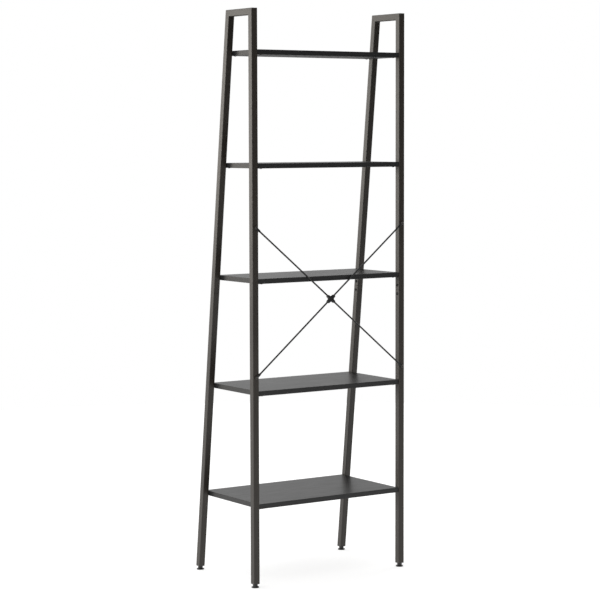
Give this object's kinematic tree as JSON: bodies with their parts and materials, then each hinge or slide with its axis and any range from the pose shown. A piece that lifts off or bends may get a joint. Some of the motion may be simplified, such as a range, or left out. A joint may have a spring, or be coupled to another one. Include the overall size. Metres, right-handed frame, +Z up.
{
  "type": "ladder shelf",
  "caption": "Tall open ladder shelf: leaning front legs, upright rear legs, flat boards between the side frames, crossed rods behind and round levelling feet.",
  "frame": {"origin": "on the floor at the centre of the shelf's outline", "axes": "+Z up, +X across the boards to the right seen from the front, +Y from the sloping front legs to the upright rear legs"},
  "size_m": [0.5634, 0.349, 1.73],
  "materials": {
    "frame_steel": "satin powder coat, dark bronze grey",
    "board_laminate": "satin melamine on particle board, black with a faint grain",
    "board_edging": "satin plastic edging strip",
    "brace_steel": "satin black paint",
    "hub_plastic": "moulded, finely textured",
    "screw_black": "black oxide",
    "screw_brown": "screw heads painted to match the frame",
    "zinc_steel": "zinc plated",
    "foot_plastic": "moulded nylon with a slight gloss",
    "plug_plastic": "moulded polyethylene"
  },
  "bodies": {
    "frame": {"left_upper_rear_leg": "frame_steel", "left_upper_front_leg": "frame_steel", "left_top_bar": "frame_steel", "left_lower_rear_leg": "frame_steel", "left_lower_front_leg": "frame_steel", "right_upper_rear_leg": "frame_steel", "right_upper_front_leg": "frame_steel", "right_top_bar": "frame_steel", "right_lower_rear_leg": "frame_steel", "right_lower_front_leg": "frame_steel", "left_upper_lugs": "frame_steel", "left_lower_lugs": "frame_steel", "right_upper_lugs": "frame_steel", "right_lower_lugs": "frame_steel", "left_rear_sleeve": "zinc_steel", "left_front_sleeve": "zinc_steel", "right_rear_sleeve": "zinc_steel", "right_front_sleeve": "zinc_steel", "left_sleeve_screws": "screw_black", "right_sleeve_screws": "screw_black", "shelf_1_board": "board_laminate", "shelf_2_board": "board_laminate", "shelf_3_board": "board_laminate", "shelf_4_board": "board_laminate", "shelf_5_board": "board_laminate", "shelf_1_edging": "board_edging", "shelf_2_edging": "board_edging", "shelf_3_edging": "board_edging", "shelf_4_edging": "board_edging", "shelf_5_edging": "board_edging", "shelf_1_screws": "screw_black", "shelf_2_screws": "screw_black", "shelf_3_screws": "screw_black", "shelf_4_screws": "screw_black", "shelf_5_screws": "screw_black", "brace_rod_up_right": "brace_steel", "brace_rod_up_left": "brace_steel", "brace_hub_outer": "hub_plastic", "brace_hub_inner": "hub_plastic", "brace_hub_bolt": "screw_black", "brace_hub_nut": "screw_black", "brace_end_screws": "screw_brown", "brace_rivet_nuts": "zinc_steel", "left_front_leg_plug": "plug_plastic", "left_rear_leg_plug": "plug_plastic", "right_front_leg_plug": "plug_plastic", "right_rear_leg_plug": "plug_plastic"},
    "left_front_foot": {"left_front_foot_pad": "foot_plastic", "left_front_foot_stud": "zinc_steel"},
    "left_rear_foot": {"left_rear_foot_pad": "foot_plastic", "left_rear_foot_stud": "zinc_steel"},
    "right_front_foot": {"right_front_foot_pad": "foot_plastic", "right_front_foot_stud": "zinc_steel"},
    "right_rear_foot": {"right_rear_foot_pad": "foot_plastic", "right_rear_foot_stud": "zinc_steel"}
  },
  "joints": [
    {"name": "left_front_foot_level", "type": "slide", "parent": "frame", "child": "left_front_foot", "axis": [0, 0, -1], "range_m": [0, 0.01]},
    {"name": "left_rear_foot_level", "type": "slide", "parent": "frame", "child": "left_rear_foot", "axis": [0, 0, -1], "range_m": [0, 0.01]},
    {"name": "right_front_foot_level", "type": "slide", "parent": "frame", "child": "right_front_foot", "axis": [0, 0, -1], "range_m": [0, 0.01]},
    {"name": "right_rear_foot_level", "type": "slide", "parent": "frame", "child": "right_rear_foot", "axis": [0, 0, -1], "range_m": [0, 0.01]}
  ]
}
